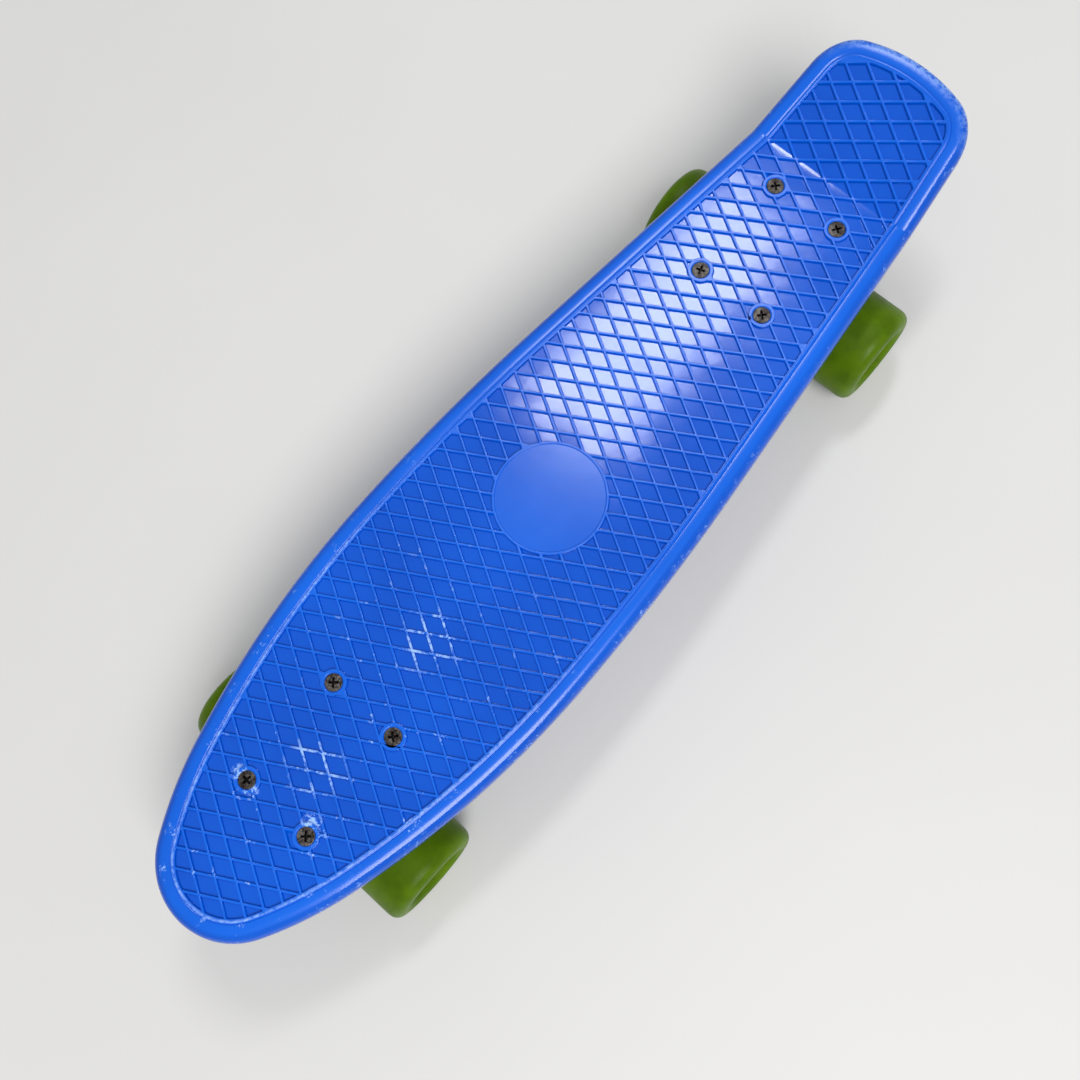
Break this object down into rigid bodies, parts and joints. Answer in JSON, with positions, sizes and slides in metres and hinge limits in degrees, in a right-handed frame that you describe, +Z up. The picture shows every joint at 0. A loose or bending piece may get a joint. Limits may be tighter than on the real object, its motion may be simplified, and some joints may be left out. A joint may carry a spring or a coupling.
{
  "type": "plastic cruiser skateboard",
  "caption": "Short moulded plastic cruiser board with a kicktail and lattice grip top, cast trucks that lean on bushings, and soft urethane wheels on ball bearings.",
  "frame": {"origin": "on the ground under the middle of the board's length and width", "axes": "+X to the nose, +Y to the rider's left, +Z up"},
  "size_m": [0.578, 0.154, 0.1182],
  "materials": {
    "deck_plastic": "moulded blue plastic with a soft gloss, scuffed along the edges",
    "wheel_urethane": "translucent lime green cast urethane",
    "truck_casting": "tumbled cast aluminium",
    "zinc_steel": "bright zinc-plated steel",
    "black_bolt_steel": "black oxide worn to bare metal",
    "bushing_urethane": "matte black urethane",
    "nylon_cup": "matte nylon",
    "bearing_steel": "ground bearing steel",
    "bearing_shield": "pressed steel shield"
  },
  "bodies": {
    "deck": {"deck": "deck_plastic", "baseplate_front": "truck_casting", "pivot_cup_front": "nylon_cup", "kingpin_front": "zinc_steel", "kingpin_nut_front": "zinc_steel", "kingpin_washers_front": "zinc_steel", "upper_bushing_front": "bushing_urethane", "lower_bushing_front": "bushing_urethane", "deck_bolts_front": "black_bolt_steel", "deck_nuts_front": "zinc_steel", "baseplate_rear": "truck_casting", "pivot_cup_rear": "nylon_cup", "kingpin_rear": "zinc_steel", "kingpin_nut_rear": "zinc_steel", "kingpin_washers_rear": "zinc_steel", "upper_bushing_rear": "bushing_urethane", "lower_bushing_rear": "bushing_urethane", "deck_bolts_rear": "black_bolt_steel", "deck_nuts_rear": "zinc_steel"},
    "wheel_front_left": {"wheel_front_left": "wheel_urethane", "bearing_outer_rings_front_left": "bearing_steel", "bearing_shields_front_left": "bearing_shield"},
    "bearing_balls_front_left": {"bearing_balls_front_left": "bearing_steel", "bearing_cages_front_left": "nylon_cup"},
    "wheel_front_right": {"wheel_front_right": "wheel_urethane", "bearing_outer_rings_front_right": "bearing_steel", "bearing_shields_front_right": "bearing_shield"},
    "bearing_balls_front_right": {"bearing_balls_front_right": "bearing_steel", "bearing_cages_front_right": "nylon_cup"},
    "hanger_front": {"hanger_front": "truck_casting", "axle_front": "zinc_steel", "axle_nuts_front": "zinc_steel", "speed_washers_front": "zinc_steel", "bearing_inner_rings_front_left": "bearing_steel", "bearing_spacer_front_left": "zinc_steel", "bearing_inner_rings_front_right": "bearing_steel", "bearing_spacer_front_right": "zinc_steel"},
    "wheel_rear_left": {"wheel_rear_left": "wheel_urethane", "bearing_outer_rings_rear_left": "bearing_steel", "bearing_shields_rear_left": "bearing_shield"},
    "bearing_balls_rear_left": {"bearing_balls_rear_left": "bearing_steel", "bearing_cages_rear_left": "nylon_cup"},
    "wheel_rear_right": {"wheel_rear_right": "wheel_urethane", "bearing_outer_rings_rear_right": "bearing_steel", "bearing_shields_rear_right": "bearing_shield"},
    "bearing_balls_rear_right": {"bearing_balls_rear_right": "bearing_steel", "bearing_cages_rear_right": "nylon_cup"},
    "hanger_rear": {"hanger_rear": "truck_casting", "axle_rear": "zinc_steel", "axle_nuts_rear": "zinc_steel", "speed_washers_rear": "zinc_steel", "bearing_inner_rings_rear_left": "bearing_steel", "bearing_spacer_rear_left": "zinc_steel", "bearing_inner_rings_rear_right": "bearing_steel", "bearing_spacer_rear_right": "zinc_steel"}
  },
  "joints": [
    {"name": "truck_lean_front", "type": "hinge", "parent": "deck", "child": "hanger_front", "pos_m": [0.1795, 0, 0.0485], "axis": [0.8572, 0, 0.515], "range_deg": [-15, 15], "stiffness_Nm_per_rad": 40, "deforming": ["upper_bushing_front", "lower_bushing_front"]},
    {"name": "wheel_spin_front_left", "type": "hinge", "parent": "hanger_front", "child": "wheel_front_left", "pos_m": [0.1985, 0.0545, 0.0295], "axis": [0, 1, 0], "continuous": true},
    {"name": "ball_cage_front_left", "type": "hinge", "parent": "hanger_front", "child": "bearing_balls_front_left", "pos_m": [0.1985, 0.0545, 0.0295], "axis": [0, 1, 0], "continuous": true},
    {"name": "wheel_spin_front_right", "type": "hinge", "parent": "hanger_front", "child": "wheel_front_right", "pos_m": [0.1985, -0.0545, 0.0295], "axis": [0, 1, 0], "continuous": true},
    {"name": "ball_cage_front_right", "type": "hinge", "parent": "hanger_front", "child": "bearing_balls_front_right", "pos_m": [0.1985, -0.0545, 0.0295], "axis": [0, 1, 0], "continuous": true},
    {"name": "truck_lean_rear", "type": "hinge", "parent": "deck", "child": "hanger_rear", "pos_m": [-0.1615, 0, 0.0485], "axis": [-0.8572, 0, 0.515], "range_deg": [-15, 15], "stiffness_Nm_per_rad": 40, "deforming": ["upper_bushing_rear", "lower_bushing_rear"]},
    {"name": "wheel_spin_rear_left", "type": "hinge", "parent": "hanger_rear", "child": "wheel_rear_left", "pos_m": [-0.1805, 0.0545, 0.0295], "axis": [0, 1, 0], "continuous": true},
    {"name": "ball_cage_rear_left", "type": "hinge", "parent": "hanger_rear", "child": "bearing_balls_rear_left", "pos_m": [-0.1805, 0.0545, 0.0295], "axis": [0, 1, 0], "continuous": true},
    {"name": "wheel_spin_rear_right", "type": "hinge", "parent": "hanger_rear", "child": "wheel_rear_right", "pos_m": [-0.1805, -0.0545, 0.0295], "axis": [0, 1, 0], "continuous": true},
    {"name": "ball_cage_rear_right", "type": "hinge", "parent": "hanger_rear", "child": "bearing_balls_rear_right", "pos_m": [-0.1805, -0.0545, 0.0295], "axis": [0, 1, 0], "continuous": true}
  ],
  "couplings": [
    {"joint": "ball_cage_front_left", "follows": "wheel_spin_front_left", "ratio": 0.63227},
    {"joint": "ball_cage_front_right", "follows": "wheel_spin_front_right", "ratio": 0.63227},
    {"joint": "ball_cage_rear_left", "follows": "wheel_spin_rear_left", "ratio": 0.63227},
    {"joint": "ball_cage_rear_right", "follows": "wheel_spin_rear_right", "ratio": 0.63227}
  ]
}
